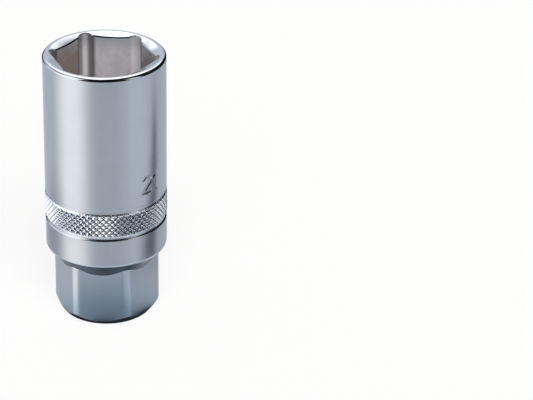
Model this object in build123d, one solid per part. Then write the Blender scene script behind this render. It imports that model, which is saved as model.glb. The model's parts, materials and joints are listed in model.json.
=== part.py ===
from build123d import *
import math
import os

# Spark plug socket in millimetres. A turned steel body has a hexagonal mouth for the plug,
# a knurled grip ring, and a wrench hexagon round a square drive. A rubber sleeve inside grips the plug.
# The origin is the centre of the drive end's face, +Z runs along the axis to the mouth,
# and both hexagons and the square have flats that face +Y and -Y.

# Mouth hexagon, measured across its flats, with a round relief along each corner
mouth_hex_flats = 21.2
mouth_hex_depth = 22.0
relief_radius = 1.83
relief_reach = 0.26
corner_wall = 1.5

# Countersink in the mouth, and the rim round it
rim_land = 0.8
rim_rounding = 0.5
countersink_depth = 0.76

# Lengths along the axis, from the drive end upwards
wrench_hex_length = 13.1
shoulder_length = 3.8
collar_length = 6.95
lower_groove_width = 0.35
upper_groove_width = 1.3
barrel_length = 32.9

# Turned grooves either side of the knurl, and the bevels of the barrel and the knurl beside them
groove_depth = 0.3
barrel_bevel = 0.1
knurl_bevel = 0.4

# Diamond knurl: raised pyramids in rows, each row half a pyramid round from the next
knurl_count = 60
knurl_rows = 4
knurl_pitch = 1.4
knurl_stand = 0.15
knurl_depth = 0.42

# Wrench hexagon on the drive end, with turned corners and a turned end chamfer
wrench_hex_flats = 21.8
corner_turned_off = 0.47
end_chamfer_in = 1.7
end_chamfer_up = 2.14

# Square drive, with its lead-in and the recesses for the driver's ball
drive_square = 12.85
drive_depth = 16.0
drive_lead_in = 1.2
detent_height = 7.5
detent_radius = 2.2
detent_depth = 1.0

# Round bore between the drive and the mouth, with the groove that holds the rubber sleeve
bore_radius = 9.2
bore_lead_in = 1.2
retainer_depth = 0.8
retainer_width = 4.0
retainer_height = 30.5

# Rubber sleeve, and the play between it and the bore
sleeve_play = 0.05
sleeve_length = 15.5
sleeve_bottom = 24.5
grip_radius = 5.1
funnel_radius = 7.6
funnel_length = 3.5
sleeve_edge = 0.5

# Worked out from the sizes above
relief_centre = mouth_hex_flats / 2 / math.cos(math.pi / 6) + relief_reach - relief_radius
body_radius = relief_centre + relief_radius + corner_wall
wrench_corner_radius = wrench_hex_flats / 2 / math.cos(math.pi / 6) - corner_turned_off
groove_radius = body_radius - groove_depth
shoulder_top = wrench_hex_length + shoulder_length
collar_top = shoulder_top + collar_length
knurl_bottom = collar_top + lower_groove_width
knurl_top = knurl_bottom + knurl_rows * knurl_pitch
barrel_bottom = knurl_top + upper_groove_width
overall_length = barrel_bottom + barrel_length
mouth_floor = overall_length - mouth_hex_depth


def turned(points):
    """Revolves an outline of (radius, height) points about the axis."""
    outline = make_face(Polyline(*points, close=True))
    return revolve(Plane.XZ * outline, Axis.Z)


def hexagonal(flats, bottom, top):
    """Hexagonal prism with two of its flats facing +Y and -Y."""
    outline = RegularPolygon(flats / 2, 6, major_radius=False)
    return Pos(0, 0, bottom) * extrude(outline, top - bottom)


def barrel():
    """Everything turned above the wrench hexagon, without the knurl."""
    slope = (body_radius - wrench_hex_flats / 2) / shoulder_length
    buried = corner_turned_off
    profile = [
        (0, wrench_hex_length - buried / slope),
        (wrench_hex_flats / 2 - buried, wrench_hex_length - buried / slope),
        (body_radius, shoulder_top),
        (body_radius, collar_top - groove_depth),
        (groove_radius, collar_top),
        (groove_radius, knurl_bottom),
        (groove_radius - knurl_depth, knurl_bottom),
        (groove_radius - knurl_depth, knurl_top),
        (groove_radius + knurl_bevel, knurl_top),
        (groove_radius, knurl_top + knurl_bevel),
        (groove_radius, barrel_bottom),
        (body_radius - barrel_bevel, barrel_bottom),
        (body_radius, barrel_bottom + barrel_bevel),
        (body_radius, overall_length),
        (0, overall_length),
    ]
    solid = turned(profile)
    rim = solid.edges().filter_by(GeomType.CIRCLE).group_by(Axis.Z)[-1]
    return fillet(rim, rim_rounding)


def wrench_hexagon():
    """Hexagon on the drive end, its corners turned round and its end chamfered."""
    turning = turned(
        [
            (0, 0),
            (wrench_corner_radius - end_chamfer_in, 0),
            (wrench_corner_radius, end_chamfer_up),
            (wrench_corner_radius, shoulder_top),
            (0, shoulder_top),
        ]
    )
    return hexagonal(wrench_hex_flats, 0, shoulder_top) & turning


def knurl_drum():
    """Drum whose side is a lattice of peaks and valleys: the four cells round a peak make one pyramid."""
    columns = 2 * knurl_count
    levels = 2 * knurl_rows
    peak_radius = body_radius + knurl_stand
    valley_radius = peak_radius - knurl_depth

    def corner(column, level):
        radius = valley_radius if (column + level) % 2 else peak_radius
        angle = 2 * math.pi * column / columns
        height = knurl_bottom + knurl_pitch / 2 * level
        return Vector(radius * math.cos(angle), radius * math.sin(angle), height)

    sides = []
    for level in range(levels):
        for column in range(columns):
            low = corner(column, level)
            low_next = corner(column + 1, level)
            high_next = corner(column + 1, level + 1)
            high = corner(column, level + 1)
            if (column + level) % 2:
                triangles = [(low, low_next, high_next), (low, high_next, high)]
            else:
                triangles = [(low, low_next, high), (low_next, high_next, high)]
            sides += [Face(Wire.make_polygon(triangle)) for triangle in triangles]
    ends = [
        Face(Wire.make_polygon([corner(column, level) for column in range(columns)]))
        for level in (0, levels)
    ]
    return Solid(Shell(sides + ends))


def mouth_cut():
    """Hexagon with relieved corners, its countersink, and the cone that leads to the bore."""
    hexagon = hexagonal(mouth_hex_flats, mouth_floor, overall_length)
    relief = Pos(relief_centre, 0, mouth_floor) * Cylinder(
        relief_radius, mouth_hex_depth, align=(Align.CENTER, Align.CENTER, Align.MIN)
    )
    reliefs = [Rot(0, 0, 60 * corner) * relief for corner in range(6)]
    rim_radius = body_radius - rim_rounding - rim_land
    slope = (rim_radius - mouth_hex_flats / 2) / countersink_depth
    countersink = turned(
        [
            (0, overall_length - rim_radius / slope),
            (rim_radius, overall_length),
            (0, overall_length),
        ]
    )
    funnel = turned(
        [
            (0, mouth_floor - bore_lead_in),
            (bore_radius, mouth_floor - bore_lead_in),
            (bore_radius + bore_lead_in, mouth_floor),
            (0, mouth_floor),
        ]
    )
    return hexagon + reliefs + countersink + funnel


def bore_cut():
    """Round bore from the drive up to the mouth, with the groove round it for the sleeve's bead."""
    groove_floor = bore_radius + retainer_depth
    return turned(
        [
            (0, drive_depth),
            (bore_radius, drive_depth),
            (bore_radius, retainer_height),
            (groove_floor, retainer_height + retainer_depth),
            (groove_floor, retainer_height + retainer_width - retainer_depth),
            (bore_radius, retainer_height + retainer_width),
            (bore_radius, mouth_floor - bore_lead_in),
            (0, mouth_floor - bore_lead_in),
        ]
    )


def drive_cuts():
    """Square hole for the driver, with a turned lead-in and a round ball recess in each wall."""
    square = extrude(Rectangle(drive_square, drive_square), drive_depth)
    lead_in = turned(
        [
            (0, 0),
            (drive_square / 2 + drive_lead_in, 0),
            (drive_square / 2, drive_lead_in),
            (0, drive_lead_in),
        ]
    )
    drilling = Rot(0, 90, 0) * Cylinder(detent_radius, 2 * detent_depth)
    recess = Pos(drive_square / 2, 0, detent_height) * drilling
    recesses = [Rot(0, 0, 90 * wall) * recess for wall in range(4)]
    return [square, lead_in, *recesses]


def socket_body():
    """The whole steel socket."""
    outside = barrel() + wrench_hexagon() + knurl_drum()
    return outside - mouth_cut() - bore_cut() - drive_cuts()


def plug_grip_sleeve():
    """Rubber sleeve: a bead outside holds it in the bore's groove, and its bore grips the plug's insulator."""
    outer = bore_radius - sleeve_play
    bead = outer + retainer_depth
    top = sleeve_bottom + sleeve_length
    return turned(
        [
            (grip_radius, sleeve_bottom),
            (outer - sleeve_edge, sleeve_bottom),
            (outer, sleeve_bottom + sleeve_edge),
            (outer, retainer_height + sleeve_play),
            (bead, retainer_height + retainer_depth + sleeve_play),
            (bead, retainer_height + retainer_width - retainer_depth - sleeve_play),
            (outer, retainer_height + retainer_width - sleeve_play),
            (outer, top - sleeve_edge),
            (outer - sleeve_edge, top),
            (funnel_radius, top),
            (grip_radius, top - funnel_length),
        ]
    )


nodes = {
    "socket_body": socket_body(),
    "plug_grip_sleeve": plug_grip_sleeve(),
}

os.makedirs("parts", exist_ok=True)
for name, solid in nodes.items():
    export_step(solid, f"parts/{name}.step")
print(f"body diameter {2 * body_radius:.2f} mm, overall length {overall_length:.2f} mm")
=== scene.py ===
import json
import math

import bpy
import numpy as np
from mathutils import Matrix, Vector
from mathutils.geometry import delaunay_2d_cdt

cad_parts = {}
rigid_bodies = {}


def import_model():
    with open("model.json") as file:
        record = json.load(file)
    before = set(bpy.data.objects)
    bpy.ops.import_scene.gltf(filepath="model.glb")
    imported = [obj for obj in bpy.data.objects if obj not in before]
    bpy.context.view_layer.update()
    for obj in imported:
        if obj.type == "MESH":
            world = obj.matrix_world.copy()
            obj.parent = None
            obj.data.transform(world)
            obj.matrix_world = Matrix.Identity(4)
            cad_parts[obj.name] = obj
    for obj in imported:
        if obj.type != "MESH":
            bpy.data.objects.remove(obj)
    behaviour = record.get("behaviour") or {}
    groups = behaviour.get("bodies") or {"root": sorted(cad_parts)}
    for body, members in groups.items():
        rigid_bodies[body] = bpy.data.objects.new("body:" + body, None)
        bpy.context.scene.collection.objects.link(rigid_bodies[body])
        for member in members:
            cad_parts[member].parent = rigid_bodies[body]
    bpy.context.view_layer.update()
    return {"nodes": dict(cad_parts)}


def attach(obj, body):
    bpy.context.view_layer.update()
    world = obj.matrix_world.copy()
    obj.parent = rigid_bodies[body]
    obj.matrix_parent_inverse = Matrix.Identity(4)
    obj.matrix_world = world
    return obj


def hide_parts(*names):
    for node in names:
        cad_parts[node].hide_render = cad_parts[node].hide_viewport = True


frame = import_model()
print("frame loaded:", sorted(frame["nodes"]))

mm = 0.001


# Shader helpers

class Signal:
    # a node's output, with arithmetic written as Python
    def __init__(self, shader, socket):
        self.shader = shader
        self.socket = socket

    def out(self, name):
        return Signal(self.shader, self.socket.node.outputs[name])

    def calc(self, operation, *values):
        return self.shader.node("Math", {"operation": operation}, dict(enumerate(values)))

    def __add__(self, other):
        return self.calc("ADD", self, other)

    def __sub__(self, other):
        return self.calc("SUBTRACT", self, other)

    def __rsub__(self, other):
        return self.calc("SUBTRACT", other, self)

    def __mul__(self, other):
        return self.calc("MULTIPLY", self, other)

    def __truediv__(self, other):
        return self.calc("DIVIDE", self, other)

    def __abs__(self):
        return self.calc("ABSOLUTE", self)

    __radd__ = __add__
    __rmul__ = __mul__


class Shader:
    # the node tree of a material or of the world
    def __init__(self, owner):
        owner.use_nodes = True
        self.tree = owner.node_tree
        self.tree.nodes.clear()

    def node(self, kind, settings=None, sockets=None, output=0):
        made = self.tree.nodes.new("ShaderNode" + kind)
        for name, value in (settings or {}).items():
            if name == "stops":
                for stop in value[2:]:
                    made.color_ramp.elements.new(stop[0])
                for element, stop in zip(made.color_ramp.elements, value):
                    element.position, element.color = stop[0], (*stop[1], 1)
            else:
                setattr(made, name, value)
        for name, value in (sockets or {}).items():
            if isinstance(value, Signal):
                self.tree.links.new(value.socket, made.inputs[name])
            else:
                made.inputs[name].default_value = value
        return Signal(self, made.outputs[output]) if len(made.outputs) else None

    def ramp(self, value, start, end, low=0.0, high=1.0):
        # smooth change from low to high as value goes from start to end
        limits = {"Value": value, "From Min": start, "From Max": end, "To Min": low, "To Max": high}
        return self.node("MapRange", {"interpolation_type": "SMOOTHSTEP"}, limits)

    def mixColour(self, factor, first, second):
        first, second = [c if isinstance(c, Signal) else (*c, 1) for c in (first, second)]
        return self.node("Mix", {"data_type": "RGBA"}, {0: factor, 6: first, 7: second}, 2)

    def scaled(self, vector, factors):
        return self.node("VectorMath", {"operation": "MULTIPLY"}, {0: vector, 1: factors})

    def measure(self, operation, vector, other=None):
        # a number worked out from one or two vectors, such as a length or a distance
        values = {0: vector} if other is None else {0: vector, 1: other}
        return self.node("VectorMath", {"operation": operation}, values, "Value")

    def fromAxis(self, place):
        return self.measure("LENGTH", self.scaled(place, (1.0, 1.0, 0.0)))

    def bump(self, micrometres):
        return self.node("Bump", None, {"Strength": 1.0, "Distance": mm * mm, "Height": micrometres})

    def noise(self, vector, scale, detail=2.0, roughness=0.5):
        sockets = {"Vector": vector, "Scale": scale, "Detail": detail, "Roughness": roughness}
        return self.node("TexNoise", None, sockets)

    def surface(self, result):
        output = "OutputWorld" if isinstance(self.tree.id_data, bpy.types.World) else "OutputMaterial"
        self.node(output, None, {"Surface": result})


def grey(value, tint=(1.0, 1.0, 1.0)):
    # a grey of this value, or this much of a tint
    return tuple(value * channel for channel in tint)


# Camera: the photograph's viewing angle, worked out from the rim's ellipse and the body's edges

view = {
    "azimuth": 8.5,  # degrees from -Y towards +X
    "elevation": 27.1,
    "distance": 614.66,  # millimetres from the point aimed at on the axis
    "aimHeight": 32.0,  # millimetres
    "focalPixels": 2667.7,
    "pictureWidth": 533,
    "sensorWidth": 36.0,
    "panPixels": 160.4,  # how far the axis stands to the left of the picture's middle
    "tiltPixels": -21.518,
    "roll": 0.013,  # radians
}


def placeCamera():
    # first aimed at the axis, then panned, tilted and rolled to frame it as the photograph does
    elevation = math.radians(view["elevation"])
    forward = Vector((0, math.cos(elevation), -math.sin(elevation)))
    right = Vector((1, 0, 0))
    up = right.cross(forward)
    place = Vector((0, 0, view["aimHeight"])) - forward * view["distance"]
    pan = Matrix.Rotation(-math.atan2(view["panPixels"], view["focalPixels"]), 3, up)
    forward, right = pan @ forward, pan @ right
    tilt = Matrix.Rotation(math.atan2(view["tiltPixels"], view["focalPixels"]), 3, right)
    forward, up = tilt @ forward, tilt @ up
    roll = Matrix.Rotation(view["roll"], 3, forward)
    right, up = roll @ right, roll @ up
    turn = Matrix.Rotation(math.radians(view["azimuth"]), 4, "Z")
    stand = Matrix((right, up, -forward)).transposed().to_4x4()
    stand.translation = place * mm
    data = bpy.data.cameras.new("photoCamera")
    data.sensor_fit = "HORIZONTAL"
    data.sensor_width = view["sensorWidth"]
    data.lens = view["focalPixels"] * view["sensorWidth"] / view["pictureWidth"]
    data.clip_start, data.clip_end = 0.01, 10
    camera = bpy.data.objects.new("photoCamera", data)
    bpy.context.scene.collection.objects.link(camera)
    camera.matrix_world = turn @ stand
    bpy.context.scene.camera = camera


# Studio: a pale tent below the horizon, dark above it, with soft cards that the steel reflects.
# Bearings are degrees from the camera's side, positive to the right, and heights are degrees up.

coolTint = (0.945, 1.0, 1.07)
warmTint = (1.02, 1.0, 0.965)

# A card is its bearing, half its width and the softness beside that, its lower edge (None where
# it goes all the way down), its upper edge, their softness, and its colour.
# Later cards lie over earlier ones.
studio = {
    "tent": grey(0.62, coolTint),
    "ceiling": grey(0.012, coolTint),
    "horizon": (-22, -14),
    "ambient": grey(0.3),  # what matt surfaces are lit by, besides the lamp
    "lamp": (6, (18, 24), 32, 62, 12, grey(8.0, warmTint)),
    "cards": [
        # low, seen in the barrel's and the collar's sides
        (-125, (22, 45), None, -14, 6, grey(0.64, coolTint)),
        (-66, (8, 42), None, -12, 6, grey(1.3, warmTint)),
        (66, (8, 40), None, -16, 6, grey(0.75, coolTint)),
        (-172, (3, 10), None, -19, 3, grey(1.2, coolTint)),
        # high at the left and right, seen in the rim, the bevels and the knurl
        (-112, (10, 22), -14, 36, 5, grey(1.0, coolTint)),
        (-72, (18, 14), -16, 58, 6, grey(1.6, warmTint)),
        (-122, (10, 12), 42, 64, 5, grey(0.75, warmTint)),
        (-150, (16, 14), 38, 90, 6, grey(0.5, coolTint)),
        (57, (6, 11), -12, 50, 5, grey(0.8, warmTint)),
        # under the floor, seen in what faces down
        (180, (180, 1), None, -44, 6, grey(1.3)),
        (-148, (18, 14), None, -44, 4, grey(0.6, coolTint)),
        (96, (22, 16), None, -50, 6, grey(0.5)),
        # behind, seen in the rim's land and the countersink
        (-170, (26, 10), 12, 60, 4, grey(0.8, coolTint)),
        (180, (9, 10), -18, 14, 4, grey(0.6, coolTint)),
        (180, (15, 12), 30, 56, 4, grey(2.4, warmTint)),
        (-174, (20, 12), 43, 72, 4, grey(2.2, warmTint)),
    ],
}

floorSizes = {
    "halfWidth": 800,  # millimetres, as all lengths here
    "drop": 0.02,  # how far it lies below the socket's end
    "shadowShare": 0.17,  # how much of the floor's white comes from the light on it
    "dimCentre": (1.4, -12.9),
    "dimming": [  # painted shade round the socket, seen in the steel only: distance from that middle, and how much of the tent the steel sees there
        (0, grey(0.32, (0.82, 1, 1.2))),
        (3, grey(0.38, (0.82, 1, 1.2))),
        (6, grey(0.48, (0.81, 1, 1.18))),
        (10.5, grey(0.54, (0.82, 1, 1.15))),
        (16, grey(0.73, (0.87, 1, 1.10))),
        (21.5, grey(0.89, (0.95, 1, 1.04))),
        (32, grey(0.94)),
        (52, grey(0.91)),
        (80, grey(1.0)),
    ],
    "contactCentre": (1.1, -0.8),
    "contact": (10.9, 13.0, 0.05),  # painted contact shadow round the foot, seen in the steel only: up to here, gone here, and its value
    "strips": [  # darker strips on the floor, seen in the steel only
        {
            "turn": 26.0,  # degrees from the picture's width
            "aside": -30.5,  # its middle line's distance from the origin
            "halfWidth": 5,
            "soft": 14,
            "start": (12, 38),  # along the strip, where it comes in
            "end": (140, 100),  # and where it ends and starts to fade
            "colour": grey(0.25, (0.96, 1, 1.12)),
        },
        {
            "turn": 0.0,
            "aside": 12,
            "halfWidth": 10,
            "soft": 24,
            "start": (-92, -60),
            "end": (-26, -42),
            "colour": grey(0.74, (0.98, 1, 1.04)),
        },
    ],
}


def lightStudio():
    world = bpy.data.worlds.new("softStudio")
    bpy.context.scene.world = world
    shader = Shader(world)
    world.cycles.sampling_method = "NONE"  # what it shows depends on the kind of ray
    direction = shader.node("TexCoord", output="Generated")
    across = shader.node("SeparateXYZ", None, {"Vector": direction})
    facing = across.calc("ARCTAN2", across, across.out("Y") * -1.0)
    bearing = facing * math.degrees(1) - view["azimuth"]
    height = across.calc("ARCSINE", across.out("Z")) * math.degrees(1)

    def withCard(behind, card):
        at, (half, soft), low, high, edge, colour = card
        aside = abs(bearing.calc("WRAP", bearing - at, 180.0, -180.0))
        mask = shader.ramp(aside, half + soft, half)
        if low is not None:
            mask = mask * shader.ramp(height, low - edge, low + edge)
        mask = mask * shader.ramp(height, high + edge, high - edge)
        return shader.mixColour(mask, behind, colour)

    seen = shader.mixColour(shader.ramp(height, *studio["horizon"]), studio["tent"], studio["ceiling"])
    for card in studio["cards"]:
        seen = withCard(seen, card)
    lit = withCard(studio["ambient"], studio["lamp"])
    path = shader.node("LightPath", output="Is Camera Ray")
    shown = shader.mixColour(path.out("Is Glossy Ray"), lit, seen)
    shown = shader.mixColour(path, shown, (1.0, 1.0, 1.0))
    shader.surface(shader.node("Background", None, {"Color": shown, "Strength": 1.0}))


def layFloor():
    side, level = floorSizes["halfWidth"] * mm, -floorSizes["drop"] * mm
    mesh = bpy.data.meshes.new("studioFloor")
    corners = [(-side, -side, level), (side, -side, level), (side, side, level), (-side, side, level)]
    mesh.from_pydata(corners, [], [(0, 1, 2, 3)])
    floor = bpy.data.objects.new("studioFloor", mesh)
    bpy.context.scene.collection.objects.link(floor)
    material = bpy.data.materials.new("whiteFloor")
    mesh.materials.append(material)
    shader = Shader(material)
    path = shader.node("LightPath", output="Is Camera Ray")
    share = floorSizes["shadowShare"]
    matt = shader.node("BsdfDiffuse", None, {"Color": (*grey(share), 1)})
    glow = shader.node("Emission", None, {"Color": (1, 1, 1, 1), "Strength": path * (1 - share)})
    white = shader.node("AddShader", None, {0: matt, 1: glow})
    position = shader.node("TexCoord", output="Object")

    def distanceFrom(centre):
        return shader.measure("DISTANCE", position, (*(value * mm for value in centre), 0)) / mm

    # painted shade on the floor round the socket, seen by glossy rays only
    reach = floorSizes["dimming"][-1][0]
    stops = [(radius / reach, level) for radius, level in floorSizes["dimming"]]
    offset = distanceFrom(floorSizes["dimCentre"])
    dimmed = shader.node("ValToRGB", {"stops": stops}, {"Fac": offset / reach})
    for strip in floorSizes["strips"]:
        turn = math.radians(view["azimuth"] + strip["turn"])
        along = shader.measure("DOT_PRODUCT", position, (math.cos(turn), math.sin(turn), 0)) / mm
        across = shader.measure("DOT_PRODUCT", position, (-math.sin(turn), math.cos(turn), 0)) / mm
        half = strip["halfWidth"]
        mask = shader.ramp(abs(across - strip["aside"]), half + strip["soft"], half)
        mask = mask * shader.ramp(along, *strip["start"]) * shader.ramp(along, *strip["end"])
        dimmed = shader.scaled(dimmed, shader.mixColour(mask, (1.0, 1.0, 1.0), strip["colour"]))
    near, far, value = floorSizes["contact"]
    away = distanceFrom(floorSizes["contactCentre"])
    contact = shader.mixColour(shader.ramp(away, near, far), grey(value), (1.0, 1.0, 1.0))
    dimmed = shader.scaled(dimmed, contact)
    through = shader.node("BsdfTransparent", None, {"Color": dimmed})
    shader.surface(shader.node("MixShader", None, {0: path.out("Is Glossy Ray"), 1: white, 2: through}))


# Materials. Places are in millimetres, and what a Bump node is given is in micrometres.

def newMaterial(name):
    material = bpy.data.materials.new(name)
    shader = Shader(material)
    place = shader.scaled(shader.node("TexCoord", output="Object"), (1 / mm, 1 / mm, 1 / mm))
    return material, shader, place


plating = {
    "colour": (0.56, 0.60, 0.655),
    "tarnish": 0.97,  # brightness of the tarnished patches
    "marks": (0.25, 0.25, 9.0),  # turning marks are long round the body and fine along it
    "grain": 3.0,
    "waves": (0.16, 0.16, 0.11),
}

plateFinishes = {  # marks, grain and waves are heights here
    "satinPlate": {"roughness": 0.22, "marks": 0.8, "grain": 0.3, "waves": 26.0},
    "brightRim": {"roughness": 0.09, "marks": 0.2, "grain": 0.08},
    "groundFlats": {"roughness": 0.34, "marks": 0.1, "grain": 1.2},
    "boredSteel": {"roughness": 0.36, "marks": 1.2, "grain": 1.0},
    # painted light: the knurl's plate is made half again as bright as the barrel's
    "knurledPlate": {"roughness": 0.26, "marks": 0.1, "grain": 0.8, "brightness": 1.5, "metallic": 0.92},
    # painted shade: the shoulder under the collar is made much darker than the rest of the plate
    "shoulderPlate": {"roughness": 0.34, "marks": 0.6, "grain": 0.8, "brightness": 0.27},
}


def platedSteel(name, soilAndShade=None):
    # chrome plate over turned or ground steel, with soil and painted shade darkening the knurl's valleys
    finish = plateFinishes[name]
    roughness = finish["roughness"]
    material, shader, place = newMaterial(name)
    marks = shader.noise(shader.scaled(place, plating["marks"]), 1.0, 3.0, 0.6)
    grain = shader.noise(place, plating["grain"], 4.0, 0.6)
    tarnished = shader.ramp(shader.noise(place, 0.16, 2.0), 0.35, 0.7)
    # a brightness other than 1 paints light or shade into the plate's colour
    plate = grey(finish.get("brightness", 1.0), plating["colour"])
    colour = shader.mixColour(tarnished, plate, grey(plating["tarnish"], plate))
    if soilAndShade:
        # painted shade with some soil, darker deep in the knurl's valleys
        height = shader.node("SeparateXYZ", None, {"Vector": place}, "Z")
        soiledAndShaded = shader.ramp(shader.fromAxis(place) + grain * 0.04, *soilAndShade["from"])
        soiledAndShaded = soiledAndShaded * shader.ramp(height, *soilAndShade["above"])
        colour = shader.mixColour(soiledAndShaded, colour, grey(soilAndShade["level"], plate))
    rough = shader.ramp(marks * 0.6 + grain * 0.4, 0.3, 0.7, roughness * 0.9, roughness * 1.12)
    relief = marks * finish["marks"] + grain * finish["grain"]
    if "waves" in finish:
        waves = shader.noise(shader.scaled(place, plating["waves"]), 1.0, 2.0, 0.45)
        relief = relief + waves * finish["waves"]
    shader.surface(shader.node("BsdfPrincipled", None, {
        "Base Color": colour,
        "Metallic": finish.get("metallic", 1.0),
        "Roughness": rough,
        "Normal": shader.bump(relief),
    }))
    return material


broach = {
    "deep": (0.49, 0.46, 0.50),
    "streak": (0.62, 0.60, 0.665),
    "plated": (0.50, 0.53, 0.59),
    "platedFrom": (59.6, 62.6),  # height where plating that reached into the mouth comes in
    # colour of the painted highlight on the corner reliefs' walls
    "rubbed": (0.82, 0.79, 0.84),
    "rubbedFrom": (11.45, 12.2),  # distance from the axis where the reliefs' walls turn smoother and take a painted highlight
    "stains": [  # darker patches on the mouth's walls: colour, place, and the distance where each starts to fade and ends
        ((0.25, 0.185, 0.145), (-10.0, 4.5, 57.0), (5.0, 9.5)),
        ((0.23, 0.205, 0.215), (10.0, 4.0, 57.0), (4.5, 8.0)),
    ],
    # painted shade down the sides of the corner reliefs, darkest on their right
    "reliefShade": grey(0.12, (1.0, 0.9, 0.92)),
    "reliefShadeFrom": (11.1, 11.35),  # distance from the axis where the painted shade comes in
    "residue": [  # painted shade on a relief's sides: off its middle, from and to, and the share of the wall's own colour left
        (0.3, 1.3, 0.15),  # on its right
        (0.05, -0.85, 0.35),  # on its left, in the socket's left half only
    ],
}


def broachedSteel(name):
    # the hexagon's walls: cut along the axis, with thin plating near the mouth only, a painted highlight in
    # the corner reliefs and painted shade down their sides
    material, shader, place = newMaterial(name)
    across = shader.node("SeparateXYZ", None, {"Vector": place})
    outward = shader.fromAxis(place)
    strokes = shader.noise(shader.scaled(place, (3.0, 3.0, 0.1)), 1.0, 3.0, 0.6)
    grain = shader.noise(place, 3.0, 4.0, 0.65)
    stain = shader.noise(place, 0.45, 3.0, 0.6)
    thin = shader.ramp(across.out("Z") + stain * 3.0 - 1.5, *broach["platedFrom"])
    # painted highlight: the reliefs' walls are made lighter in colour, as well as smoother and a little more
    # metallic
    rubbed = shader.ramp(outward, *broach["rubbedFrom"])
    bare = shader.ramp(strokes * 0.25 + stain * 0.45 + grain * 0.3, 0.36, 0.64)
    bare = shader.mixColour(bare, broach["deep"], broach["streak"])
    bare = shader.mixColour(rubbed, bare, broach["rubbed"])
    colour = shader.mixColour(thin * (1 - rubbed * 0.6), bare, broach["plated"])
    for patchColour, centre, reach in broach["stains"]:
        away = shader.measure("DISTANCE", place, centre)
        patched = shader.ramp(away + stain * 6.0 - 3.0, *reach, 0.85, 0.0) * (1 - rubbed)
        colour = shader.mixColour(patched * (1 - thin * 0.3), colour, patchColour)
    turned = across.calc("ARCTAN2", across.out("Y"), across)
    folded = turned.calc("WRAP", turned, math.pi / 6, -math.pi / 6)
    aside = folded.calc("SINE", folded) * outward * -1.0
    # painted shade down each relief's sides, darker on its right
    for start, end, left in broach["residue"]:
        reliefShade = shader.ramp(aside + strokes * 0.3 - 0.15, start, end)
        reliefShade = reliefShade * shader.ramp(outward, *broach["reliefShadeFrom"])
        if end < 0:
            reliefShade = reliefShade * shader.ramp(across, 3.0, -3.0)
        colour = shader.mixColour(reliefShade * (1 - left), colour, broach["reliefShade"])
    shader.surface(shader.node("BsdfPrincipled", None, {
        "Base Color": colour,
        "Metallic": rubbed * 0.1 + thin * 0.25 + 0.12,
        "Roughness": shader.ramp(strokes, 0.3, 0.7, 0.44, 0.56) - rubbed * 0.12,
        "Normal": shader.bump(strokes * 2.5 + grain * 2.0),
    }))
    return material


def gripRubber(name):
    material, shader, place = newMaterial(name)
    speckle = shader.noise(place, 5.0, 3.0, 0.6)
    bloom = shader.ramp(shader.noise(place, 0.5, 2.0), 0.4, 0.7)
    shader.surface(shader.node("BsdfPrincipled", None, {
        "Base Color": shader.mixColour(bloom, (0.022, 0.022, 0.023), (0.040, 0.039, 0.038)),
        "Roughness": shader.ramp(speckle, 0.3, 0.7, 0.5, 0.68),
        "Normal": shader.bump(speckle * 9.0),
    }))
    return material


# Mesh building: rings of points round the axis, joined in bands.
# A path of rings runs up the outside and down the inside, which turns the faces outward.

class RingMesh:
    def __init__(self):
        self.points = []
        self.faces = []
        self.finishes = []

    def add(self, points):
        start = len(self.points)
        self.points.extend(map(tuple, points))
        return np.arange(start, len(self.points))

    def ring(self, radius, height, angles):
        radius, height, angles = np.broadcast_arrays(radius, height, angles)
        return self.add(np.stack([radius * np.cos(angles), radius * np.sin(angles), height], axis=1))

    def rings(self, path, angles):
        return [self.ring(radius, height, angles) for radius, height in path]

    def face(self, faces, finish):
        self.faces.extend(tuple(int(index) for index in face) for face in faces)
        self.finishes.extend(int(value) for value in np.broadcast_to(finish, (len(faces),)))

    def band(self, first, second, finish, leftOut=()):
        faces = np.stack([first, np.roll(first, -1), np.roll(second, -1), second], axis=1)
        keep = np.ones(len(first), bool)
        keep[list(leftOut)] = False
        self.face(faces[keep], np.broadcast_to(finish, (len(first),))[keep])

    def bands(self, rings, finish):
        for first, second in zip(rings, rings[1:]):
            self.band(first, second, finish)

    def stitch(self, first, firstAngles, second, secondAngles, finish):
        # joins two rings with different numbers of points across a flat face
        firstOrder, secondOrder = np.argsort(firstAngles), np.argsort(secondAngles)
        first, firstAngles = first[firstOrder], firstAngles[firstOrder]
        second, secondAngles = second[secondOrder], secondAngles[secondOrder]
        firstTurns = np.append(firstAngles, firstAngles[0] + 2 * math.pi)
        secondTurns = np.append(secondAngles, secondAngles[0] + 2 * math.pi)
        i = j = 0
        made = []
        while i < len(first) or j < len(second):
            here, there = first[i % len(first)], second[j % len(second)]
            if j >= len(second) or (i < len(first) and firstTurns[i + 1] <= secondTurns[j + 1]):
                i += 1
                made.append((here, first[i % len(first)], there))
            else:
                j += 1
                made.append((here, second[j % len(second)], there))
        self.face(made, finish)

    def piece(self, name, materials, sharpAngle):
        mesh = bpy.data.meshes.new(name)
        mesh.from_pydata([tuple(value * mm for value in point) for point in self.points], [], self.faces)
        for material in materials:
            mesh.materials.append(material)
        mesh.polygons.foreach_set("material_index", self.finishes)
        mesh.polygons.foreach_set("use_smooth", [True] * len(mesh.polygons))
        mesh.set_sharp_from_angle(angle=math.radians(sharpAngle))
        mesh.update()
        made = bpy.data.objects.new(name, mesh)
        bpy.context.scene.collection.objects.link(made)
        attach(made, "root")
        return made


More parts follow.
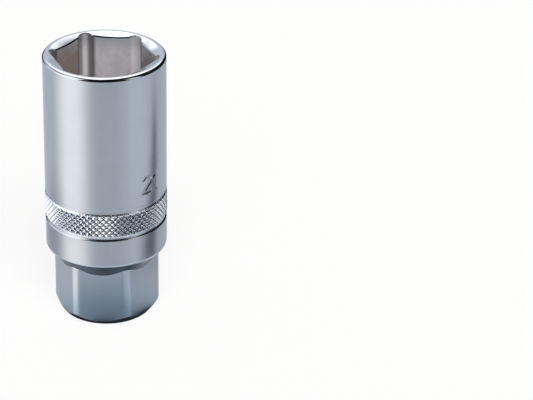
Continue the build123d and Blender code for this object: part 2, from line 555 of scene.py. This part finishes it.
def roundedPath(corners):
    # A corner is its radius and height. Where it is rounded, next come what is cut from each side
    # or a pair for the two sides, how far past that a ring keeps the face flat, and the steps.
    corners = [(*corner, *(0, 0, 3)[len(corner) - 2:]) for corner in corners]
    size = max(np.size(value) for corner in corners for value in corner[:2])
    points = []
    for corner in corners:
        points.append(np.array([np.broadcast_to(value, (size,)) for value in corner[:2]], float))
    path = []
    for index, (point, corner) in enumerate(zip(points, corners)):
        rounding, guard, steps = corner[2:]
        before, after = rounding if isinstance(rounding, tuple) else (rounding, rounding)
        if not np.any(before):
            path.append(point)
            continue
        back, ahead = points[index - 1] - point, points[index + 1] - point
        back, ahead = [side / np.linalg.norm(side, axis=0) for side in (back, ahead)]
        weight = np.sqrt((1 - (back * ahead).sum(axis=0)) / 2)
        if guard:
            path.append(point + back * (before + guard))
        for share in np.linspace(0, 1, steps + 1):
            start, middle, end = (1 - share) ** 2, 2 * share * (1 - share) * weight, share ** 2
            arc = start * (point + back * before) + middle * point + end * (point + ahead * after)
            path.append(arc / (start + middle + end))
        if guard:
            path.append(point + ahead * (after + guard))
    return path


def polygonRadius(angles, flats, sides, turn=0):
    # with a turn of 0, a corner lies at +X
    aside = (np.degrees(angles) + turn) % (360 / sides) - 180 / sides
    return flats / 2 / np.cos(np.radians(aside))


def softLower(first, second, width):
    # the lower of two values, eased into one another over width
    gap = np.clip((first - second) / width, -1, 1)
    eased = (first + second) / 2 - width * (1 + gap ** 2) / 4
    return np.where(np.abs(gap) < 1, eased, np.minimum(first, second))


# The steel body. Sizes are the CAD part's own, in millimetres.

steel = {
    "length": 64.0,
    "radius": 14.0,
    "rimRounding": (0.62, 0.78),  # down the wall and across the land
    "crown": 0.05,  # how far the rim's land falls towards its outer edge
    "landInner": 12.7,
    "countersinkDepth": 0.76,
    "mouthFlats": 21.2,
    "mouthFloor": 42.0,
    "reliefCentre": 10.6698,  # distance of the middle of a corner's relief from the axis
    "reliefRadius": 1.83,
    "endInner": 10.417,
    "chamferTop": 2.14,  # rise and width of the chamfer at the end of the wrench hexagon
    "chamferIn": 1.7,
    "wrenchFlats": 21.8,
    "wrenchCorner": 12.117,
    "wrenchTop": 13.1,
    "shoulderTop": 16.9,
    "collarTop": 23.85,
    "grooveRadius": 13.7,
    "knurlBottom": 24.2,
    "knurlTop": 29.8,
    "knurlBevel": 14.1,
    "barrelBottom": 31.1,
    "boreRadius": 9.2,
    "ledge": 16.0,
    "driveSquare": 12.85,
    "leadIn": 1.2,
    "retainer": (30.5, 34.5, 0.8),  # the sleeve's groove: lower and upper edge, and depth
    "recess": (7.5, 2.2, 1.0),  # height, radius and depth of the ball recesses
}

knurl = {
    "columns": 120,  # half pyramids round the body
    "levels": 8,  # and half pyramids along it
    "split": 5,  # cells along each half pyramid
    "peak": 14.145,
    "depth": 0.49,
    "rounding": 5,  # the ridges are rounder when this is lower
    "flatten": 0.86,  # share of the height where the peaks are cut off
    "plainBand": (13.72, 0.29, 2),  # radius and height below the lattice, and its slope out of them
    "runOut": (13.97, 0.13, 4),  # what the valleys rise to, how far below the top, and their slope
    "bevel": (0.4, 0.72),  # how far above the top the lattice ends, and the bevel's slope
    "soilAndShade": {  # dark lines in the valleys, painted shade with some soil: the distance from the axis and height where they come in
        "from": (13.84, 13.75),
        "above": (24.55, 24.75),
        "level": 0.25,
    },
}

sizeMark = {
    "bearings": (-48.6, -21.0),  # degrees from +X, of the window in the barrel that holds the digits
    "heights": (33.0, 39.4),
    "left": -45.8,
    "base": 33.95,
    "gap": 0.4,
    "depth": 0.22,
    "slope": 0.13,  # width of the pressed walls
    "grid": 0.4,  # spacing of the points between the digits
    "clear": 0.05,  # how far those points stay off the digits' edges
}

# places of the finishes in the body's list of materials
outside, polishedRim, wrenchFlat, insideMouth, insideBore, knurled, shoulder = range(7)


def arcPoints(centre, radius, turns):
    return [centre + radius * np.array([math.cos(turn), math.sin(turn)]) for turn in np.radians(turns)]


def digitTwo():
    # outline of a bold 2, anticlockwise, 3.0 wide and 4.6 tall
    centre = np.array([1.5, 3.1])
    outer = arcPoints(centre, 1.5, np.arange(170, -46, -9))
    inner = arcPoints(centre, 0.72, np.arange(-45, 171, 12))
    foot = [(1.27, 0.75), (3.0, 0.75), (3.0, 0.0), (0.0, 0.0), (0.0, 0.55)]
    return np.array([*outer, *foot, *inner])[::-1], 3.0


def digitOne():
    outline = [(0.95, 0.0), (1.72, 0.0), (1.72, 4.6), (1.2, 4.6), (0.0, 3.85), (0.0, 3.05), (0.95, 3.6)]
    return np.array(outline), 1.72


def insetOutline(outline, distance):
    normals = []
    for side in (outline - np.roll(outline, 1, axis=0), np.roll(outline, -1, axis=0) - outline):
        side = side / np.linalg.norm(side, axis=1)[:, None]
        normals.append(np.stack([-side[:, 1], side[:, 0]], axis=1))
    middle = normals[0] + normals[1]
    length = np.linalg.norm(middle, axis=1)
    middle = middle / length[:, None]
    stretch = 1 / np.clip(length / 2, 0.5, 1)
    return outline + middle * (distance * stretch)[:, None]


def inOutline(points, outline):
    inside = np.zeros(len(points), bool)
    for start, end in zip(outline, np.roll(outline, -1, axis=0)):
        crosses = (start[1] > points[:, 1]) != (end[1] > points[:, 1])
        rise = end[1] - start[1] or 1e-12
        at = start[0] + (points[:, 1] - start[1]) / rise * (end[0] - start[0])
        inside ^= crosses & (points[:, 0] < at)
    return inside


def markColumns(angles):
    # the columns at the window's sides
    count = len(angles)
    return [round(bearing / 360 * count) % count for bearing in sizeMark["bearings"]]


def markOutlines():
    # each digit's edge on the barrel and its edge on the pressed floor, with the barrel unrolled
    left = steel["radius"] * math.radians(sizeMark["left"])
    outlines = []
    for outline, width in (digitTwo(), digitOne()):
        outline = outline + np.array([left, sizeMark["base"]])
        outlines.append((outline, insetOutline(outline, sizeMark["slope"])))
        left += width + sizeMark["gap"]
    return outlines


def stampSizeMark(mesh, lowRing, highRing, angles):
    # the number of the hexagon's size across flats, pressed into the barrel
    first, last = markColumns(angles)
    low, high = sizeMark["heights"]
    radius, spacing, clear = steel["radius"], sizeMark["grid"], sizeMark["clear"]
    columns = np.arange(first, last + 1)
    turned = angles[columns] - 2 * math.pi
    surface = [(radius * angle, low) for angle in turned] + [(radius * angle, high) for angle in turned[::-1]]
    known = [*lowRing[columns], *highRing[columns][::-1]]
    count = len(surface)
    depths = [0.0] * count
    edges = [(k, (k + 1) % count) for k in range(count)]
    outlines = markOutlines()
    for top, bottom in outlines:
        for outline, depth in ((top, 0.0), (bottom, sizeMark["depth"])):
            start = len(surface)
            surface += [tuple(point) for point in outline]
            depths += [depth] * len(outline)
            edges += [(start + k, start + (k + 1) % len(outline)) for k in range(len(outline))]
    levels = np.arange(low + spacing, high - spacing / 2, spacing)
    grid = np.array([(radius * angle, height) for angle in turned[1:-1] for height in levels])
    within = np.zeros(len(grid), bool)
    deep = np.zeros(len(grid), bool)
    for top, bottom in outlines:
        within |= inOutline(grid, insetOutline(top, -clear))
        deep |= inOutline(grid, insetOutline(bottom, clear))
    keep = deep | ~within
    surface += [tuple(point) for point in grid[keep]]
    depths += [sizeMark["depth"] if isDeep else 0.0 for isDeep in deep[keep]]
    result = delaunay_2d_cdt([Vector(point) for point in surface], edges, [], 0, 1e-6)
    places, faces, origins = result[0], result[2], result[3]
    step = math.radians(360 / len(angles))
    index = []
    for place, origin in zip(places, origins):
        source = min(origin)
        if source < count:
            index.append(known[source])
            continue
        # points between two columns lie on the flat between them
        angle = place.x / radius
        aside = (angle / step - math.floor(angle / step) - 0.5) * step
        chord = radius * math.cos(step / 2) / math.cos(aside) - depths[source]
        index.append(mesh.ring([chord], [place.y], [angle])[0])
    made, finishes = [], []
    for face in faces:
        a, b, c = [places[k] for k in face]
        area = (b - a).cross(c - a)
        if abs(area) > 1e-9:
            made.append([index[k] for k in (face if area > 0 else face[::-1])])
            finishes.append(wrenchFlat if all(depths[min(origins[k])] > 0 for k in face) else outside)
    mesh.face(made, finishes)


def knurlRings(mesh, angles):
    # the lattice runs a little into the bevel above it, and starts above a plain band
    cells, rounding = knurl["split"], knurl["rounding"]
    bandRadius, bandHeight, bandSlope = knurl["plainBand"]
    endRadius, endBelow, endSlope = knurl["runOut"]
    reach, bevelSlope = knurl["bevel"]
    pitch = (steel["knurlTop"] - steel["knurlBottom"]) / knurl["levels"]
    column = np.arange(len(angles)) / cells
    rings = []
    levels = np.append(np.arange(knurl["levels"] * cells + 2) / cells, knurl["levels"] + reach / pitch)
    for level in levels:
        across, along = (column + level) / 2, (column - level) / 2
        sides = 2 * np.abs([across - np.round(across), along - np.round(along)])
        drop = (sides ** rounding).sum(axis=0) ** (1 / rounding)
        rise = np.minimum(1 - drop, knurl["flatten"])
        height = steel["knurlBottom"] + pitch * level
        above = height - steel["knurlTop"]
        radius = knurl["peak"] - knurl["depth"] * (knurl["flatten"] - rise)
        radius = np.maximum(radius, endRadius + min(above + endBelow, 0) * endSlope)
        overBand = max(height - steel["knurlBottom"] - bandHeight, 0)
        radius = np.minimum(radius, bandRadius + overBand * bandSlope)
        radius = np.minimum(radius, steel["knurlBevel"] - above * bevelSlope)
        rings.append(mesh.ring(radius, height, angles))
    for row, (low, high) in enumerate(zip(rings, rings[1:])):
        lowNext, highNext = np.roll(low, -1), np.roll(high, -1)
        even = (np.arange(len(angles)) // cells + row // cells) % 2 == 0
        mesh.face(np.stack([low, lowNext, high], axis=1)[even], knurled)
        mesh.face(np.stack([lowNext, highNext, high], axis=1)[even], knurled)
        mesh.face(np.stack([low, lowNext, highNext], axis=1)[~even], knurled)
        mesh.face(np.stack([low, highNext, high], axis=1)[~even], knurled)
    return rings


def mouthColumns():
    # angles and radii of the mouth hexagon with its corner reliefs
    flat, centre, relief = steel["mouthFlats"] / 2, steel["reliefCentre"], steel["reliefRadius"]
    half = math.acos((flat - centre * math.cos(math.pi / 6)) / relief) + math.pi / 6
    arc = np.linspace(-half, half, 19)  # points round a relief
    across, aside = centre + relief * np.cos(arc), relief * np.sin(arc)
    flatAngles = np.radians([-20.4, *range(-18, 19, 3), 20.4])
    angles, radii = [], []
    for sector in range(6):
        angles += [*(np.arctan2(aside, across) + sector * math.pi / 3)]
        radii += [*np.hypot(across, aside)]
        angles += [*(flatAngles + (sector + 0.5) * math.pi / 3)]
        radii += [*(flat / np.cos(flatAngles))]
    return np.array(angles), np.array(radii)


def ballRecess(mesh, highRing, lowRing, angles, wall):
    # round recess in one wall of the square, between two rings
    height, radius, depth = steel["recess"]
    half = steel["driveSquare"] / 2
    quarter = math.pi / 2
    halfSpan = math.radians(24.01)  # of the columns between which the recess lies
    turned = (angles - wall * quarter + math.pi) % (2 * math.pi) - math.pi
    chosen = np.where(np.abs(turned) < halfSpan)[0]
    chosen = chosen[np.argsort(turned[chosen])]
    border = np.concatenate([lowRing[chosen], highRing[chosen]])
    aside = half * np.tan(turned[chosen])
    level = np.array([mesh.points[index][2] for index in border])
    borderAngles = np.arctan2(level - height, -np.concatenate([aside, aside]))
    turns = np.linspace(0, 2 * math.pi, 49)[:-1] - math.pi + 0.01
    cos, sin = math.cos(wall * quarter), math.sin(wall * quarter)

    def circle(circleRadius, circleDepth):
        x = np.full(len(turns), half + circleDepth)
        y = -circleRadius * np.cos(turns)
        z = height + circleRadius * np.sin(turns)
        return mesh.add(np.stack([x * cos - y * sin, x * sin + y * cos, z], axis=1))

    edge, foot = 0.06, 0.15  # softened edges at the wall and at the recess's floor
    rings = [circle(radius + edge, 0.0), circle(radius, edge), circle(radius, depth - foot)]
    rings += [circle(radius - foot, depth), circle(radius * 0.5, depth)]
    mesh.stitch(border, borderAngles, rings[0], turns, insideBore)
    mesh.bands(rings, insideBore)
    middle = mesh.add([((half + depth) * cos, (half + depth) * sin, height)])[0]
    last = rings[-1]
    mesh.face([(a, b, middle) for a, b in zip(last, np.roll(last, -1))], insideBore)
    return set(chosen[:-1].tolist())


def driveEnd(mesh, angles):
    # wrench hexagon, shoulder and collar, from the end's land up to the knurl
    s = steel
    flat = polygonRadius(angles, s["wrenchFlats"], 6)
    wrench = softLower(flat, np.full(len(angles), s["wrenchCorner"]), 0.3)
    chamferEdge = (wrench - s["endInner"]) * s["chamferTop"] / s["chamferIn"]
    shoulderSlope = (s["shoulderTop"] - s["wrenchTop"]) / (s["radius"] - s["wrenchFlats"] / 2)
    shoulderEdge = s["wrenchTop"] + (wrench - s["wrenchFlats"] / 2) * shoulderSlope
    rings = mesh.rings(roundedPath([
        (10.1, 0.0),
        (s["endInner"], 0.0, 0.1),
        (wrench, chamferEdge, 0.14, 0.1),
        (wrench, shoulderEdge, 0.3, 0.12),
        (s["radius"], s["shoulderTop"], 0.35, 0.12, 5),
        (s["radius"], s["collarTop"] - 0.3, 0.08, 0.1),
        (s["grooveRadius"], s["collarTop"], 0.05),
        (s["grooveRadius"], s["knurlBottom"]),
    ]), angles)
    flats = np.where(flat < s["wrenchCorner"] - 0.02, wrenchFlat, outside)
    chamferEnd, flatsEnd, shoulderEnd = 6, 13, 19  # rings where one finish gives way to the next
    mesh.bands(rings[:chamferEnd + 1], outside)
    mesh.bands(rings[chamferEnd:flatsEnd + 1], flats)
    mesh.bands(rings[flatsEnd:shoulderEnd + 1], shoulder)
    mesh.bands(rings[shoulderEnd:], outside)
    return rings


def barrelAndRim(mesh, angles, knurlEnd):
    # the smooth barrel with its size mark, and the polished rim
    s = steel
    low, high = sizeMark["heights"]
    barrel = roundedPath([
        (s["grooveRadius"] + 0.02, s["knurlTop"] + 0.42),
        (s["grooveRadius"], s["barrelBottom"]),
        (s["radius"] - 0.1, s["barrelBottom"], 0.03),
        (s["radius"], s["barrelBottom"] + 0.1, 0.04, 0.1),
        (s["radius"], low),
    ])
    rim = roundedPath([
        (s["radius"], high),
        (s["radius"], s["length"] - s["crown"], s["rimRounding"], 0.08, 11),
        (13.0, s["length"] - s["crown"] * 0.2),
        (12.8, s["length"]),
    ])
    barrel, rim = mesh.rings(barrel, angles), mesh.rings(rim, angles)
    mesh.band(knurlEnd, barrel[0], outside)
    mesh.bands(barrel, outside)
    mesh.band(barrel[-1], rim[0], outside, range(*markColumns(angles)))
    stampSizeMark(mesh, barrel[-1], rim[0], angles)
    polishedFrom = 2  # the first ring of the rim's rounding
    mesh.bands(rim[:polishedFrom + 1], outside)
    mesh.bands(rim[polishedFrom:], polishedRim)
    return rim[-1]


def mouthAndBore(mesh, angles, landRing):
    # land, countersink, broached mouth, bore with the sleeve's groove, and ledge
    s = steel
    mouthAngles, mouthRadii = mouthColumns()
    sinkSlope = s["countersinkDepth"] / (s["landInner"] - s["mouthFlats"] / 2)
    sinkEdge = s["length"] - (s["landInner"] - mouthRadii) * sinkSlope
    sinkRounding = np.clip(0.1 + (12.0 - mouthRadii) * 0.25, 0.1, 0.3)  # less in the reliefs
    retainerLow, retainerHigh, retainerDepth = s["retainer"]
    bore, groove = s["boreRadius"], s["boreRadius"] + retainerDepth
    rings = mesh.rings(roundedPath([
        (s["landInner"] + 0.09, s["length"]),
        (s["landInner"], s["length"], 0.05),
        (mouthRadii, sinkEdge, (sinkRounding, sinkRounding * 0.2 + 0.26), 0.02, 5),
        (mouthRadii, 60.0),
        (mouthRadii, s["mouthFloor"]),
        (bore + s["leadIn"], s["mouthFloor"], 0.05),
        (bore, s["mouthFloor"] - s["leadIn"], 0.06, 0.1),
        (bore, retainerHigh, 0.05),
        (groove, retainerHigh - retainerDepth, 0.1),
        (groove, retainerLow + retainerDepth, 0.1),
        (bore, retainerLow, 0.05),
        (bore, s["ledge"]),
    ]), mouthAngles)
    turned = mouthAngles % (2 * math.pi)
    mesh.stitch(landRing, angles, rings[0], turned, polishedRim)
    polishedEnd, broachedEnd = 10, 18  # rings where one finish gives way to the next
    mesh.bands(rings[:polishedEnd + 1], polishedRim)
    mesh.bands(rings[polishedEnd:broachedEnd + 1], insideMouth)
    mesh.bands(rings[broachedEnd:], insideBore)
    return rings[-1], turned


def squareDrive(mesh, ledgeRing, ledgeAngles, endRing, endAngles):
    # the square, its ball recesses and its lead-in, and the end's land
    s = steel
    angles = np.radians(np.arange(0, 360, 3.0))
    square = polygonRadius(angles, s["driveSquare"], 4, 45)
    lead = s["driveSquare"] / 2 + s["leadIn"] - square
    lead = -softLower(-lead, np.full(len(lead), -0.1), 0.1)
    height, clear = s["recess"][0], 2.8  # the recesses' walls run this far above and below them
    rings = mesh.rings(roundedPath([
        (square, s["ledge"]),
        (square, height + clear),
        (square, height - clear),
        (square, lead, 0.03),
        (square + lead, 0.0, 0.03),
        (square + lead + 0.15, 0.0),
    ]), angles)
    mesh.stitch(ledgeRing, ledgeAngles, rings[0], angles, insideBore)
    holes = set()
    for wall in range(4):
        holes |= ballRecess(mesh, rings[1], rings[2], angles, wall)
    mesh.bands(rings[:2], insideBore)
    mesh.band(rings[1], rings[2], insideBore, holes)
    mesh.bands(rings[2:], insideBore)
    mesh.stitch(rings[-1], angles, endRing, endAngles, wrenchFlat)


def socketBody():
    mesh = RingMesh()
    columns = knurl["columns"] * knurl["split"]
    angles = np.radians(np.arange(columns) * (360 / columns))
    lower = driveEnd(mesh, angles)
    ridges = knurlRings(mesh, angles)
    mesh.band(lower[-1], ridges[0], outside)
    landRing = barrelAndRim(mesh, angles, ridges[-1])
    ledgeRing, ledgeAngles = mouthAndBore(mesh, angles, landRing)
    squareDrive(mesh, ledgeRing, ledgeAngles, lower[0], angles)
    finishes = [
        platedSteel("satinPlate"),
        platedSteel("brightRim"),
        platedSteel("groundFlats"),
        broachedSteel("broachedMouth"),
        platedSteel("boredSteel"),
        platedSteel("knurledPlate", knurl["soilAndShade"]),
        platedSteel("shoulderPlate"),
    ]
    body = mesh.piece("socketBody", finishes, 32)
    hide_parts("socket_body")
    return body


# The rubber sleeve that grips the plug

sleeve = {
    "columns": 120,
    "bottom": 24.5,
    "top": 40.0,
    "outer": 9.15,
    "bead": 9.95,
    "beadFrom": 30.55,
    "beadTo": 34.45,
    "grip": 5.1,
    "funnel": 7.6,
    "funnelLength": 3.5,
    "ribs": 4,  # shallow grooves in the bore leave ribs that hold the insulator
    "ribDepth": 0.3,
    "ribWidth": 0.9,
    "ribSlope": 0.5,
    "plain": (1.2, 0.4),  # of the bore, above the first groove and below the last rib
}


def plugGripSleeve():
    s = sleeve
    mesh = RingMesh()
    angles = np.linspace(0, 2 * math.pi, s["columns"] + 1)[:-1]
    beadRise = s["bead"] - s["outer"]
    funnelFoot = s["top"] - s["funnelLength"]
    corners = [
        (s["grip"], s["bottom"], 0.4),
        (s["outer"], s["bottom"], 0.45),
        (s["outer"], s["beadFrom"], 0.15),
        (s["bead"], s["beadFrom"] + beadRise, 0.3),
        (s["bead"], s["beadTo"] - beadRise, 0.3),
        (s["outer"], s["beadTo"], 0.15),
        (s["outer"], s["top"], 0.5),
        (s["funnel"], s["top"], 0.4),
        (s["grip"], funnelFoot, 0.6),
    ]
    plainTop, plainFoot = s["plain"]
    step = (funnelFoot - s["bottom"] - plainTop - plainFoot) / s["ribs"]
    for rib in range(s["ribs"]):
        top = funnelFoot - plainTop - rib * step
        foot = top - step + s["ribWidth"]
        corners += [
            (s["grip"], top, 0.15),
            (s["grip"] + s["ribDepth"], top - s["ribSlope"], 0.2),
            (s["grip"] + s["ribDepth"], foot + s["ribSlope"], 0.2),
            (s["grip"], foot, 0.15),
        ]
    # the path is closed, so its ends borrow each other's neighbours
    path = roundedPath([corners[-1][:2], *corners, corners[0][:2]])[1:-1]
    rings = mesh.rings(path, angles)
    mesh.bands([*rings, rings[0]], 0)
    made = mesh.piece("plugGripSleeve", [gripRubber("gripRubber")], 40)
    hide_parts("plug_grip_sleeve")
    return made


placeCamera()
lightStudio()
layFloor()
print("camera, light and floor are in place")
body = socketBody()
print("steel body:", len(body.data.polygons), "faces")
grip = plugGripSleeve()
print("rubber sleeve:", len(grip.data.polygons), "faces")

bpy.context.scene.view_settings.view_transform = "Standard"
